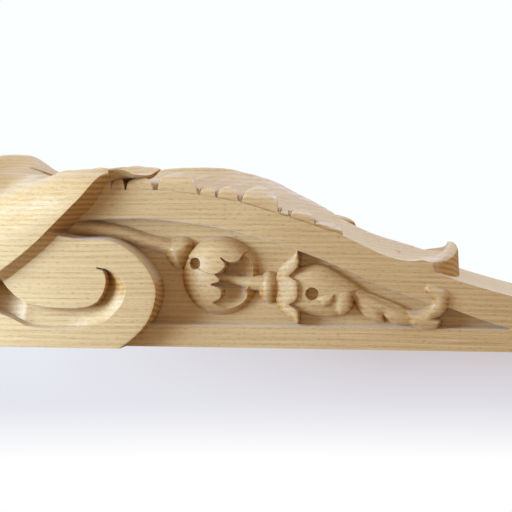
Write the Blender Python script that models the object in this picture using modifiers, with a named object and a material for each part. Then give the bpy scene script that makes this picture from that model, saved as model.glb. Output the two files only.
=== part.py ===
"""Carved oak corbel bracket, one solid block, standing as it is fixed to a wall.

The frame: origin at the middle of the flat back, +Y into the wall, -Y out to the front, +Z up.
The carving is drawn in millimetres on the corbel's own drawing: the drop from the top, how far
it comes out from the wall, and how far it stands off the middle plane. The drawing is stretched
with HEIGHT and DEPTH. One half is made, and the other is its mirror image.
"""

import math

import bmesh
import bpy
from mathutils import Matrix
from mathutils import Vector

# Driving sizes, in metres
HEIGHT = 0.450
DEPTH = 0.134
BODY_WIDTH = 0.116
VOLUTE_PROUD = 0.016
LEAF_PROUD = 0.025
PANEL_RECESS = 0.010
LOWER_RAIL = 0.0155
CAP_HEIGHT = 0.014
CAP_OVERHANG = 0.004
COVE_HEIGHT = 0.010
CHANNEL_DEPTH = 0.010
RELIEF_EASE = 0.0012
SEAM = 0.0004

# The drawing that the carving's outlines are given on, in millimetres
DRAWING_HEIGHT = 450.0
DRAWING_DEPTH = 134.0
MM = 0.001
DROP_SCALE = HEIGHT / (DRAWING_HEIGHT * MM)
OUT_SCALE = DEPTH / (DRAWING_DEPTH * MM)

# Heights off the middle plane that everything on a side is measured from
FACE = BODY_WIDTH / 2
GROUND = FACE - PANEL_RECESS
VOLUTE_FACE = FACE + VOLUTE_PROUD
LEAF_FACE = FACE + LEAF_PROUD
CAP_HALF = LEAF_FACE + CAP_OVERHANG
PAST_MIDDLE = -0.006
PAST_BACK = -6.0
CURVE_STEPS = 3

# Pale oak, planed and carved, left without polish
OAK_COLOUR = (0.56, 0.39, 0.20, 1.0)
OAK_ROUGHNESS = 0.6

# The front edge of the body, from under the big leaf to the rounded tail: drop, out
FRONT_EDGE = [
    (0, 98), (40, 101), (90, 105.5), (132, 107.2), (175.3, 107.3), (200.3, 104.6), (229.9, 99.5),
    (255.1, 92.3), (279.8, 84.5), (301.5, 76.8), (317, 69.2), (329.7, 63.3), (340, 59.6),
    (361.1, 53.4), (383.1, 46.1), (414, 37.6), (434, 33.2), (444, 31.2), (448.6, 28.2), (450, 23),
]
# The lower edge of the upper rail, which the sunk panel follows to its sharp lower corner
RAIL_UNDER_EDGE = [
    (412.2, 0, "sharp"), (394.9, 20.7), (372.9, 28.3), (360.1, 31.9), (336.7, 39.2), (313.4, 48.7),
    (289.8, 59.1), (269.6, 66.6), (249.7, 73.4), (225.1, 79.9), (202.3, 84.1), (167.6, 87.4),
    (132.9, 86.8), (104, 85.5, "sharp"),
]
VOLUTE_EDGE = [
    (0, PAST_BACK, "sharp"), (148, PAST_BACK, "sharp"), (154.6, 2.6), (172.3, 23.3), (175.3, 42.4),
    (164.5, 61.3), (145.2, 74.2), (118, 76.2), (84, 84), (40, 92), (0, 96, "sharp"),
]
TONGUE_CHANNEL = [
    (134.6, 54.8, "sharp"), (139.4, 52.6), (140.8, 43), (135.4, 32.1), (126, 27.6), (105.9, 27),
    (86.3, 29.7), (76.5, 35.3), (66, 46, "sharp"), (56, 44, "sharp"), (62, 28, "sharp"),
    (76.3, 19.9), (86.2, 15.2), (105.8, 13.5), (125.6, 14.8), (141, 20), (151, 31), (153, 42),
    (149, 50),
]

# The draped leaf, station by station: drop, then how far out its middle, valley, ridge and rim lie
LEAF_STATIONS = [
    (14, 116, 113, 108, 30), (32, 121, 114, 106.5, 33), (50, 128, 117, 105.5, 40),
    (64, 131.6, 118, 105.5, 49.5), (76, 128, 118.5, 109, 58), (86, 120.5, 118, 112.5, 65.5),
    (96, 113, 115, 116, 74.5), (106, 110, 112.5, 119, 84.3), (117, 108.7, 111, 121, 95),
    (128, 108.2, 110.5, 122, 104.5), (138, 107.8, 110, 121.6, 115),
]
LEAF_VALLEY_OFF = 34.0
LEAF_RIDGE_OFF = 60.0
LEAF_SHOULDER = 9.0
LEAF_RIM_SLANT = 6.0
LEAF_THICKNESS = 8.0
LEAF_ROOT = 50.0
LEAF_FLANK_SHARES = (0.10, 0.25, 0.45, 0.70, 1.0)
LEAF_TIP_PROFILE = [
    (126, 104, "sharp"), (126, 121.4, "sharp"), (138, 121.4), (147, 122), (155.2, 120.8),
    (162, 118.8), (171, 118.8), (178.5, 122.4, "sharp"), (173, 116.8), (162, 115.3), (152, 115.8),
    (146, 113.5), (142, 105, "sharp"),
]
LEAF_TIP_PLAN = [
    (120, 4, "sharp"), (132, 16), (146, 26), (160, 31), (171, 40), (180, 50, "sharp"), (170, 55.5),
    (154, 59.5), (142, 64), (120, 68, "sharp"),
]

# The flower on the side panel: stalk, bud, open pod, second stem, knob, collar and long leaf
STALK = [(98, 83, 7.0), (114, 81, 6.0), (130, 80.0, 5.2), (148, 77.6, 4.4), (164, 72.6, 4.0), (180, 68.5, 5.0)]
BUD_CENTRE = (187.0, 64.6)
BUD_RADII = (8.0, 11.6, 8.5)
BUD_TURN = -24.0
POD_CENTRE = (216.0, 48.6)
POD_RADII = (26.8, 27.0, 14.0)
POD_MOUTH = [
    (232.3, 63.7, "sharp"), (229.5, 59.3), (222.6, 58.7), (218, 61.4, "sharp"), (220.9, 57),
    (218.6, 52), (214.5, 50, "sharp"), (216.9, 46.2), (211.7, 43.5, "sharp"), (217.6, 40.5),
    (217.4, 34.2), (212, 30.5, "sharp"), (222.3, 27.2), (231.5, 31.5), (233.6, 38),
    (237.8, 48), (237.6, 57),
]
POD_EYE = (199.8, 57.2, 3.3)
SECOND_STEM = [(214, 48.5, 2.6), (228, 45.6, 3.0), (238, 44.2, 4.4), (246, 44.0, 5.0)]
KNOB_CENTRE = (249.5, 41.0)
KNOB_RADII = (7.4, 10.8, 9.0)
COLLAR = [
    (256, 52.4), (265.7, 62.1), (269.7, 67, "sharp"), (269.2, 56), (264.7, 49.2, "sharp"),
    (270.5, 40), (265.4, 29.8, "sharp"), (270.3, 23.5), (270.6, 16.6, "sharp"), (259.5, 23.6),
    (255.5, 29), (253.5, 41),
]
LONG_LEAF = [
    (266, 51, "sharp"), (272.5, 55.6), (280, 57.3), (288, 56.2), (305.2, 46.2), (314.8, 39.5),
    (324.4, 35.7), (343.4, 27.6), (354, 26, "sharp"), (360, 16.5, "sharp"), (350.9, 15.9),
    (338.8, 16.1), (331.4, 18.9), (328.2, 22.6, "sharp"), (328.4, 18.3, "sharp"), (321.6, 18.4),
    (313, 23.5), (307.4, 33, "sharp"), (294.6, 21.9, "sharp"), (285.1, 21.7), (266, 26, "sharp"),
]
CURL = [
    (346, 25.6, "sharp"), (355.5, 27.4), (361.2, 33.6), (356.6, 39), (357, 44, "sharp"),
    (366, 42.8), (372, 36.2), (370.4, 27), (363.2, 21.8, "sharp"), (366.2, 18),
    (362, 14.8), (350, 16.2, "sharp"),
]
LEAF_EYE = (279.8, 37.3, 3.9)
LEAF_LOBES = [
    [(286, 39, "sharp"), (294.8, 37.4, "sharp"), (294, 32.5), (288.5, 29.2), (284.2, 31.2)],
    [(296, 40, "sharp"), (304.8, 39.2), (307, 32.8), (303.8, 25), (298, 23.4), (295, 30)],
]
RELIEF_HEIGHTS = {"collar": 0.0115, "leaf": 0.0085, "lobe": 0.0105, "curl": 0.014}

# The leaf down the front: lobes on both edges in groups of three, a middle rib and a curled end
LOBES = [
    (141.5, 150.6, 114.2), (152.0, 173.0, 115.6), (175.6, 200.6, 120.2),
    (204.6, 212.0, 108.6), (213.8, 227.4, 110.4), (230.6, 256.4, 110.6),
    (258.4, 265.0, 95.0), (266.0, 280.6, 94.6), (282.4, 301.6, 86.6),
]
LOBE_INNER_OFF = 30.0
LOBE_ROOT = 8.0
RIB_STATIONS = [
    (120, 106, 4), (150, 116, 12), (172, 120, 16), (196, 120, 18), (213.5, 119.2, 18),
    (235, 114.2, 18), (262, 102.5, 18), (286.6, 89.6, 18), (314.6, 76, 18), (330.6, 70.7, 19),
    (352.9, 65.2, 20), (368, 64, 19),
]
END_CURL = [
    (349, 42, "sharp"), (349, 65.6, "sharp"), (362, 64), (367, 66), (366.4, 70.2, "sharp"),
    (372, 70.6), (376.6, 66), (377, 56), (374, 42, "sharp"),
]
END_CURL_HALF = 17.0
END_SKIRT = [
    (322, 62, "sharp"), (344, 62.5), (356, 60.2), (364, 56.5), (366.5, 47, "sharp"),
    (322, 52, "sharp"),
]


def clear_scene():
    for thing in list(bpy.data.objects):
        bpy.data.objects.remove(thing, do_unlink=True)


def make_collection(name, is_tool):
    collection = bpy.data.collections.new(name)
    bpy.context.scene.collection.children.link(collection)
    collection.hide_render = is_tool
    return collection


def drawing_matrix():
    """Turns the drawing (drop, out, off the middle) into the corbel's own frame."""
    turn = Matrix(((0, 0, -1, 0), (0, -1, 0, 0), (-1, 0, 0, 0), (0, 0, 0, 1)))
    return Matrix.Translation((0, 0, HEIGHT / 2)) @ turn


def on_drawing(drop, out):
    return drop * MM * DROP_SCALE, out * MM * OUT_SCALE


def place(thing, collection, is_tool=True):
    collection.objects.link(thing)
    thing.matrix_world = drawing_matrix()
    if is_tool:
        thing.hide_render = True
        thing.display_type = "WIRE"
    return thing


def mesh_from_curve(curve_object, weld=0.00001):
    """Makes a plain welded mesh object from a curve object, and removes the curve."""
    bpy.context.view_layer.update()
    graph = bpy.context.evaluated_depsgraph_get()
    mesh = bpy.data.meshes.new_from_object(curve_object.evaluated_get(graph))
    shape = bmesh.new()
    shape.from_mesh(mesh)
    bmesh.ops.remove_doubles(shape, verts=shape.verts, dist=weld)
    bmesh.ops.recalc_face_normals(shape, faces=shape.faces)
    shape.to_mesh(mesh)
    shape.free()
    mesh.transform(drawing_matrix().inverted() @ curve_object.matrix_world)
    name = curve_object.name
    collection = curve_object.users_collection[0]
    bpy.data.objects.remove(curve_object, do_unlink=True)
    return place(bpy.data.objects.new(name, mesh), collection)


def outline_spline(curve, flat_points, sharp_flags):
    spline = curve.splines.new("BEZIER")
    spline.bezier_points.add(len(flat_points) - 1)
    spline.use_cyclic_u = True
    spline.resolution_u = CURVE_STEPS
    for knot, (x, y), sharp in zip(spline.bezier_points, flat_points, sharp_flags):
        knot.co = (x, y, 0)
        kind = "VECTOR" if sharp else "AUTO"
        knot.handle_left_type = kind
        knot.handle_right_type = kind


def slab(name, outline, low, high, collection, ease=0.0):
    """A side outline (drop, out) given thickness from low to high off the middle plane."""
    curve = bpy.data.curves.new(name, "CURVE")
    curve.dimensions = "2D"
    curve.fill_mode = "BOTH"
    curve.extrude = (high - low) / 2
    points = [on_drawing(point[0], point[1]) for point in outline]
    outline_spline(curve, points, [len(point) > 2 for point in outline])
    thing = place(bpy.data.objects.new(name, curve), collection)
    thing.matrix_world = drawing_matrix() @ Matrix.Translation((0, 0, (high + low) / 2))
    solid = mesh_from_curve(thing)
    if ease:
        ease_top(solid, high, ease)
    return solid


def ease_top(solid, high, ease):
    """Rounds the rim of a slab's outer face, as a carver eases an edge."""
    shape = bmesh.new()
    shape.from_mesh(solid.data)
    top = high - 1e-6
    flat = [face for face in shape.faces if all(vert.co.z > top for vert in face.verts)]
    inner = bmesh.ops.inset_region(shape, faces=flat, thickness=ease, use_even_offset=True)
    for face in flat:
        for vert in face.verts:
            vert.tag = True
    rim = {vert for face in inner["faces"] for vert in face.verts if not vert.tag}
    for vert in rim:
        vert.co.z -= ease
    shape.to_mesh(solid.data)
    shape.free()


def plan_slab(name, outline, low, high, collection):
    """A front outline (drop, off the middle) given thickness from low to high out of the wall."""
    curve = bpy.data.curves.new(name, "CURVE")
    curve.dimensions = "2D"
    curve.fill_mode = "BOTH"
    curve.extrude = (high - low) / 2 * MM * OUT_SCALE
    points = [(point[0] * MM * DROP_SCALE, point[1] * MM) for point in outline]
    outline_spline(curve, points, [len(point) > 2 for point in outline])
    thing = place(bpy.data.objects.new(name, curve), collection)
    middle = (high + low) / 2 * MM * OUT_SCALE
    stand_up = Matrix.Translation((0, middle, 0)) @ Matrix.Rotation(math.radians(90), 4, "X")
    thing.matrix_world = drawing_matrix() @ stand_up
    return mesh_from_curve(thing)


def tapered_stem(name, stations, off, collection):
    """A round stem through (drop, out, radius) stations, its axis at one height off the middle."""
    curve = bpy.data.curves.new(name, "CURVE")
    curve.dimensions = "3D"
    curve.bevel_depth = MM
    curve.bevel_resolution = 2
    curve.use_fill_caps = True
    spline = curve.splines.new("BEZIER")
    spline.resolution_u = CURVE_STEPS
    spline.bezier_points.add(len(stations) - 1)
    for knot, (drop, out, radius) in zip(spline.bezier_points, stations):
        knot.co = (*on_drawing(drop, out), off)
        knot.radius = radius
        knot.handle_left_type = "AUTO"
        knot.handle_right_type = "AUTO"
    thing = place(bpy.data.objects.new(name, curve), collection)
    return mesh_from_curve(thing)


def egg(name, centre, radii, turn, off, collection, segments=20, rings=10):
    """A ball stretched to three radii and turned in the plane of the side."""
    mesh = bpy.data.meshes.new(name)
    shape = bmesh.new()
    bmesh.ops.create_uvsphere(shape, u_segments=segments, v_segments=rings, radius=MM)
    stretch = Matrix.Diagonal(Vector((*radii, 1.0)))
    spot = Matrix.Translation((*on_drawing(*centre), off))
    where = spot @ Matrix.Rotation(math.radians(turn), 4, "Z") @ stretch
    bmesh.ops.transform(shape, matrix=where, verts=shape.verts)
    shape.to_mesh(mesh)
    shape.free()
    return place(bpy.data.objects.new(name, mesh), collection)


def drill(name, spot, bottom, top, collection):
    """A round hole sunk square into the side."""
    drop, out, radius = spot
    mesh = bpy.data.meshes.new(name)
    shape = bmesh.new()
    size = radius * MM
    bmesh.ops.create_cone(
        shape, cap_ends=True, segments=16, radius1=size, radius2=size, depth=top - bottom
    )
    shift = Matrix.Translation((*on_drawing(drop, out), (top + bottom) / 2))
    bmesh.ops.transform(shape, matrix=shift, verts=shape.verts)
    shape.to_mesh(mesh)
    shape.free()
    return place(bpy.data.objects.new(name, mesh), collection)


def block(name, low, high, collection):
    """A plain box between two corners on the drawing, in metres."""
    mesh = bpy.data.meshes.new(name)
    shape = bmesh.new()
    bmesh.ops.create_cube(shape, size=1.0)
    for vert in shape.verts:
        vert.co = [(vert.co[i] + 0.5) * (high[i] - low[i]) + low[i] for i in range(3)]
    shape.to_mesh(mesh)
    shape.free()
    return place(bpy.data.objects.new(name, mesh), collection)


def loft(name, rings, collection):
    """Joins rings of the same number of points into one closed solid with flat ends."""
    shape = bmesh.new()
    loops = [[shape.verts.new(point) for point in ring] for ring in rings]
    count = len(loops[0])
    for here, after in zip(loops, loops[1:]):
        for i in range(count):
            j = (i + 1) % count
            shape.faces.new((here[i], here[j], after[j], after[i]))
    shape.faces.new(loops[0])
    shape.faces.new(loops[-1])
    bmesh.ops.recalc_face_normals(shape, faces=shape.faces)
    bmesh.ops.triangulate(shape, faces=shape.faces)
    mesh = bpy.data.meshes.new(name)
    shape.to_mesh(mesh)
    shape.free()
    return place(bpy.data.objects.new(name, mesh), collection)


def leaf_ring(drop, middle, valley, ridge, rim):
    """One cross-section of the draped leaf, from the middle over the ridge and down the side."""
    half_valley = (middle + valley) / 2
    half_ridge = (valley + ridge) / 2 + 1.5
    points = [(middle, PAST_MIDDLE), (middle, 0.006), (half_valley, LEAF_VALLEY_OFF * MM / 2)]
    points.append((valley, LEAF_VALLEY_OFF * MM))
    points.append((half_ridge, (LEAF_VALLEY_OFF + LEAF_RIDGE_OFF) * MM / 2))
    points.append((ridge, LEAF_RIDGE_OFF * MM))
    spread = LEAF_FACE - LEAF_RIDGE_OFF * MM
    for share in LEAF_FLANK_SHARES:
        fall = share * (ridge - rim)
        points.append((ridge - fall, LEAF_RIDGE_OFF * MM + spread * (1 - math.exp(-fall / LEAF_SHOULDER))))
    slant = min(LEAF_RIM_SLANT, (ridge - rim) / 2)
    points.append((rim - slant, FACE - 0.004))
    points.append((min(rim - slant, valley - LEAF_THICKNESS), LEAF_VALLEY_OFF * MM))
    points.append((min(rim - slant, middle - LEAF_ROOT), PAST_MIDDLE))
    x = drop * MM * DROP_SCALE
    return [(x, out * MM * OUT_SCALE, off) for out, off in points]


def rib_ring(drop, top, half):
    """One cross-section of the rib down the middle of the front leaf."""
    spots = [(top, PAST_MIDDLE), (top, 0.002), (top - 1.2, half * MM * 0.45), (top - 5.0, half * MM)]
    spots.append((top - 16.0, (half + 7.0) * MM))
    spots.append((top - 30.0, PAST_MIDDLE))
    x = drop * MM * DROP_SCALE
    return [(x, out * MM * OUT_SCALE, off) for out, off in spots]


def lobe_outline(start, stop, top):
    """The domed side outline of one lobe that rises from the front edge."""
    root = front_out((start + stop) / 2) - LOBE_ROOT
    span = stop - start
    return [
        (start, root, "sharp"), (start, top - 4.0), (start + span * 0.45, top),
        (stop - span * 0.08, top - 3.0), (stop, root, "sharp"),
    ]


def front_out(drop):
    """How far out the front edge lies at one drop, read along FRONT_EDGE."""
    for (drop_a, out_a), (drop_b, out_b) in zip(FRONT_EDGE, FRONT_EDGE[1:]):
        if drop_a <= drop <= drop_b:
            return out_a + (out_b - out_a) * (drop - drop_a) / (drop_b - drop_a)
    return FRONT_EDGE[-1][1]


def combine(body, tool, operation):
    step = body.modifiers.new(operation.title() + " " + tool.name, "BOOLEAN")
    step.operation = operation
    step.solver = "EXACT"
    step.object = tool


def crossed(side, plan):
    """Keeps only what lies inside both a side slab and a plan slab, as one plain solid."""
    combine(side, plan, "INTERSECT")
    bpy.context.view_layer.update()
    graph = bpy.context.evaluated_depsgraph_get()
    shape = bmesh.new()
    shape.from_object(side, graph)
    bmesh.ops.remove_doubles(shape, verts=shape.verts, dist=0.00002)
    bmesh.ops.dissolve_degenerate(shape, edges=shape.edges, dist=0.00002)
    bmesh.ops.triangulate(shape, faces=shape.faces)
    side.modifiers.clear()
    shape.to_mesh(side.data)
    shape.free()
    bpy.data.objects.remove(plan, do_unlink=True)
    return side


def body_outline():
    front = [(drop, out) for drop, out in FRONT_EDGE]
    front[0] = (*front[0], "sharp")
    front[-1] = (*front[-1], "sharp")
    return [(0, PAST_BACK, "sharp")] + front + [(450, PAST_BACK, "sharp")]


def panel_outline():
    """The sunk panel between the two rails, its lower edge set by the lower rail's width."""
    rail_top = LOWER_RAIL / MM / OUT_SCALE
    edge = [(RAIL_UNDER_EDGE[0][0], rail_top, "sharp")] + RAIL_UNDER_EDGE[1:]
    return edge + [(104, rail_top, "sharp")]


def add_structure(body, tools):
    """The sunk panel, the volute with its tongue, the draped leaf and the cap."""
    combine(body, slab("panel_cut", panel_outline(), GROUND, LEAF_FACE, tools), "DIFFERENCE")
    volute = slab("volute", VOLUTE_EDGE, 0.020, VOLUTE_FACE, tools)
    combine(body, volute, "UNION")
    floor = VOLUTE_FACE - CHANNEL_DEPTH
    channel = slab("tongue_channel", TONGUE_CHANNEL, floor, LEAF_FACE, tools)
    combine(body, channel, "DIFFERENCE")
    leaf = loft("draped_leaf", [leaf_ring(*station) for station in LEAF_STATIONS], tools)
    combine(body, leaf, "UNION")
    tip = slab("leaf_tip", LEAF_TIP_PROFILE, 0.002, 0.070, tools)
    plan = plan_slab("leaf_tip_plan", LEAF_TIP_PLAN, 90, 130, tools)
    combine(body, crossed(tip, plan), "UNION")
    add_cap(body, tools)


def add_cap(body, tools):
    """A square cap with a slanted bed mould under it, round the front and the sides."""
    cove = []
    for drop, inset in ((CAP_HEIGHT / 2, 0.003), (CAP_HEIGHT, 0.003), (CAP_HEIGHT + COVE_HEIGHT, 0.012)):
        out = DEPTH - inset
        off = CAP_HALF - inset
        cove.append([(drop, -0.006, PAST_MIDDLE), (drop, out, PAST_MIDDLE), (drop, out, off), (drop, -0.006, off)])
    combine(body, loft("bed_mould", cove, tools), "UNION")
    cap = block("cap", (-0.006, -0.006, PAST_MIDDLE), (CAP_HEIGHT, DEPTH, CAP_HALF), tools)
    combine(body, cap, "UNION")


def add_flower(body, tools):
    """The stalk, bud, open pod, stem, knob, collar and long leaf on the sunk panel."""
    combine(body, tapered_stem("stalk", STALK, GROUND + 0.001, tools), "UNION")
    combine(body, egg("bud", BUD_CENTRE, BUD_RADII, BUD_TURN, GROUND + 0.001, tools, 16, 8), "UNION")
    combine(body, egg("pod", POD_CENTRE, POD_RADII, 0, GROUND - 0.001, tools, 28, 12), "UNION")
    combine(body, slab("pod_mouth", POD_MOUTH, GROUND + 0.002, LEAF_FACE, tools), "DIFFERENCE")
    combine(body, tapered_stem("second_stem", SECOND_STEM, GROUND + 0.004, tools), "UNION")
    combine(body, egg("knob", KNOB_CENTRE, KNOB_RADII, 0, GROUND + 0.001, tools, 16, 8), "UNION")
    root = GROUND - 0.003
    heights = RELIEF_HEIGHTS
    leaf = slab("long_leaf", LONG_LEAF, root, GROUND + heights["leaf"], tools)
    combine(body, leaf, "UNION")
    curl = slab("leaf_curl", CURL, root - MM, GROUND + heights["curl"], tools)
    combine(body, curl, "UNION")
    for number, outline in enumerate(LEAF_LOBES):
        top = GROUND + heights["lobe"]
        lobe = slab(f"leaf_lobe_{number}", outline, root + MM, top, tools, RELIEF_EASE)
        combine(body, lobe, "UNION")
    collar = slab("collar", COLLAR, root - 2 * MM, GROUND + heights["collar"], tools, RELIEF_EASE)
    combine(body, collar, "UNION")
    combine(body, drill("pod_eye", POD_EYE, GROUND + 0.004, LEAF_FACE, tools), "DIFFERENCE")
    combine(body, drill("leaf_eye", LEAF_EYE, GROUND + 0.003, LEAF_FACE, tools), "DIFFERENCE")


def add_front_leaf(body, tools):
    """The lobed leaf that runs down the front to a curled end."""
    rib = loft("front_rib", [rib_ring(*station) for station in RIB_STATIONS], tools)
    combine(body, rib, "UNION")
    for number, (start, stop, top) in enumerate(LOBES):
        outline = lobe_outline(start, stop, top)
        inner = LOBE_INNER_OFF * MM
        lobe = slab(f"front_lobe_{number}", outline, inner, FACE - SEAM, tools, RELIEF_EASE)
        combine(body, lobe, "UNION")
    skirt = slab("end_skirt", END_SKIRT, 0.004, FACE - 2 * SEAM, tools, RELIEF_EASE)
    combine(body, skirt, "UNION")
    curl = slab("end_curl", END_CURL, PAST_MIDDLE, END_CURL_HALF * MM, tools, RELIEF_EASE)
    combine(body, curl, "UNION")


def trim_flat(body, tools):
    """Cuts the back that meets the wall, and the top that carries the shelf, dead flat."""
    far = 0.5
    back = block("back_trim", (-0.1, -0.1, -0.1), (HEIGHT + 0.1, 0, far), tools)
    combine(body, back, "DIFFERENCE")
    top = block("top_trim", (-0.1, -0.09, -0.09), (0, DEPTH + 0.1, far), tools)
    combine(body, top, "DIFFERENCE")


def mirror_half(body):
    both = body.modifiers.new("Other half", "MIRROR")
    both.use_axis = (False, False, True)
    both.use_bisect_axis = (False, False, True)
    both.use_clip = True
    both.merge_threshold = 0.00005


def oak():
    material = bpy.data.materials.new("oak")
    material.use_nodes = True
    shader = material.node_tree.nodes["Principled BSDF"]
    shader.inputs["Base Color"].default_value = OAK_COLOUR
    shader.inputs["Roughness"].default_value = OAK_ROUGHNESS
    shader.inputs["Metallic"].default_value = 0.0
    material.diffuse_color = OAK_COLOUR
    return material


def build_corbel():
    clear_scene()
    parts = make_collection("corbel_bracket", False)
    tools = make_collection("carving_tools", True)
    body = slab("carved_corbel", body_outline(), PAST_MIDDLE, FACE, parts)
    body.hide_render = False
    body.display_type = "TEXTURED"
    add_structure(body, tools)
    add_flower(body, tools)
    add_front_leaf(body, tools)
    trim_flat(body, tools)
    mirror_half(body)
    body.data.materials.append(oak())


build_corbel()
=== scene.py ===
"""Carved oak corbel bracket: the finished carving, its oak and a plain studio stage.

The carving is drawn, as a carver draws it, on two flat drawings in millimetres. The side drawing
gives how far each spot stands off the middle plane, and the front drawing how far it stands out
from the wall. Each is a field of heights, and the block is what lies inside both.
Drop is measured down from the top, out is measured from the wall, and off from the middle plane.
"""

import math

import bmesh
import bpy
import numpy as np
from mathutils import Matrix
from mathutils import Vector


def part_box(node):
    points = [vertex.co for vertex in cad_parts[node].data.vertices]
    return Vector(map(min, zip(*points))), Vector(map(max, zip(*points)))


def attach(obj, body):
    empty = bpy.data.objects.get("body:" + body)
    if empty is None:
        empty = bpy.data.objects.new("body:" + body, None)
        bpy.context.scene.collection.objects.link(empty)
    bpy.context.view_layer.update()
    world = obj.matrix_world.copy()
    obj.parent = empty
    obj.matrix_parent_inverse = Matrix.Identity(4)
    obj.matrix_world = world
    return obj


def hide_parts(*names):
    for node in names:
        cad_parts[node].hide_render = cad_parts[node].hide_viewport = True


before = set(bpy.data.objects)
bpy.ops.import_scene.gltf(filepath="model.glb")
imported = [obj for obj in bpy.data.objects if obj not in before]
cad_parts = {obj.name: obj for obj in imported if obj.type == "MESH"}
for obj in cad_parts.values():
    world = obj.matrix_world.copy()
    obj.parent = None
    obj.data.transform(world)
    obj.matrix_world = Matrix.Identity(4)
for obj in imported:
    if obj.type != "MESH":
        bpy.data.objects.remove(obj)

bl_info = {
    "name": "Carved Oak Corbel",
    "version": (1, 0, 0),
    "blender": (4, 5, 0),
    "location": "3D View > Sidebar > Corbel",
    "description": "Carves an oak corbel bracket with volutes, flowers and acanthus leaves",
    "category": "Add Mesh",
}

NODE = "carved_corbel"
BOX_LOW, BOX_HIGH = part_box(NODE)
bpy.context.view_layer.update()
HEIGHT = BOX_HIGH[2] - BOX_LOW[2]
DEPTH = BOX_HIGH[1] - BOX_LOW[1]
WIDTH = BOX_HIGH[0] - BOX_LOW[0]
TOP = BOX_HIGH[2]
MM = 0.001
NOWHERE = -1e9

# The drawing's own size in millimetres, and what stretches it to the frame
DRAWING_HEIGHT = 450.0
DRAWING_DEPTH = 134.0
DROP_SCALE = HEIGHT / (DRAWING_HEIGHT * MM)
OUT_SCALE = DEPTH / (DRAWING_DEPTH * MM)
SPARE = 3.0

# Outlines on the side drawing, as (drop, out), with a third word where the line turns sharply
FRONT_EDGE = [
    (0, 98), (40, 101), (90, 105.5), (132, 107.2), (175.3, 107.3), (200.3, 104.6), (229.9, 99.5),
    (255.1, 92.3), (279.8, 84.5), (301.5, 76.8), (317, 69.2), (329.7, 63.3), (340, 59.6),
    (361.1, 53.4), (383.1, 46.1), (414, 37.6), (434, 33.2), (443, 31.4), (448, 28.6), (450, 24),
]
RAIL_UNDER_EDGE = [
    (412.2, 15.5, "sharp"), (394.9, 20.7), (372.9, 28.3), (360.1, 31.9), (336.7, 39.2),
    (313.4, 48.7), (289.8, 59.1), (269.6, 66.6), (249.7, 73.4), (225.1, 79.9), (202.3, 84.1),
    (167.6, 87.4), (132.9, 86.8), (104, 85.5, "sharp"), (104, 15.5, "sharp"),
]
VOLUTE_EDGE = [
    (-9, -9, "sharp"), (140, -9, "sharp"), (149.5, -1), (163.5, 10.5), (172.3, 23.3), (175.3, 42.4),
    (164.5, 60.9), (145.2, 73.4), (118, 75.4), (84, 83), (40, 92), (-9, 96, "sharp"),
]
TONGUE_EDGE = [
    (134.6, 54.8, "sharp"), (139.6, 52.6), (140.8, 43), (135.4, 32.1), (126, 27.6), (105.9, 27),
    (86.3, 29.7), (76.5, 35.3), (68, 45), (60, 62, "sharp"),
]
CHANNEL_EDGE = [
    (48, 60, "sharp"), (54, 36), (64, 25.5), (76.3, 19.6), (86.2, 15.2), (105.8, 13.5),
    (125.6, 14.8), (141, 20), (151.5, 31), (154, 42), (149.5, 49.5), (142, 54), (134.6, 54.8, "sharp"),
]
STALK = [
    (98, 83, 7.5), (114, 81.2, 6.8), (130, 80.2, 5.6), (148, 77.4, 4.9), (164, 72.2, 5.0), (182, 67.6, 5.6),
]
BUD = [
    (176.6, 66.4), (179.2, 71.6), (184.4, 74.2), (190.9, 74.8), (196.4, 71.8), (196.2, 66.2), (193.3, 60.9),
    (189.6, 54.0), (185.0, 53.6), (180.4, 57.6), (177.6, 62.0),
]
POD = ((216.0, 48.6), (26.9, 27.2), 0.0)
POD_SWELL = 15.5
POD_SUNK = 2.0
POD_MOUTH = [
    (232.6, 63.9, "sharp"), (229.5, 59.3), (223.4, 58.4), (218, 61.4, "sharp"), (221.2, 57),
    (218.6, 52), (214.0, 50.2, "sharp"), (217.2, 46.0), (211.2, 43.4, "sharp"), (217.8, 40.2),
    (217.4, 34.2), (211.6, 30.3, "sharp"), (222.3, 27.0), (230.5, 30.2), (234.2, 35),
    (234.0, 40, "sharp"), (238.6, 47, "sharp"), (237.8, 58),
]
POD_LEAF = [
    (197.4, 58.6, "sharp"), (203.2, 53.6), (209, 51.2), (215.4, 51.0), (221.2, 57), (218, 61.4, "sharp"),
    (223.4, 58.4), (229.5, 59.3), (232.6, 63.9, "sharp"), (239, 70), (226, 82), (205, 82), (189, 68),
]
POD_EYE = (199.4, 57.4, 3.7)
SECOND_STEM = [(212, 48.6, 2.6), (220, 47.6, 2.8), (228, 45.9, 3.1), (238, 44.4, 4.8), (246, 44.0, 5.4)]
KNOB = ((249.4, 41.0), (7.6, 11.2), 0.0)
COLLAR = [
    (256, 52.4), (261, 58.4), (265.7, 62.1), (270.2, 67.4, "sharp"), (270.6, 56.6), (264.4, 49.3, "sharp"),
    (269.6, 45.6), (270.8, 39.2), (269.4, 33.2), (264.6, 29.8, "sharp"), (269.4, 26.4), (271, 22),
    (270.8, 16.2, "sharp"), (265, 20.6), (259.5, 23.6), (255.5, 29), (253.2, 41),
]
LEAF_HEAD = [
    (262, 51, "sharp"), (272.5, 55.4), (279, 57.3), (287.1, 56.7), (295.1, 52.8), (305.2, 46.2),
    (312, 41, "sharp"), (307.6, 33.2, "sharp"), (303, 25), (294.6, 21.9), (285.1, 21.7),
    (275.4, 23.2), (262, 28, "sharp"),
]
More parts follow.
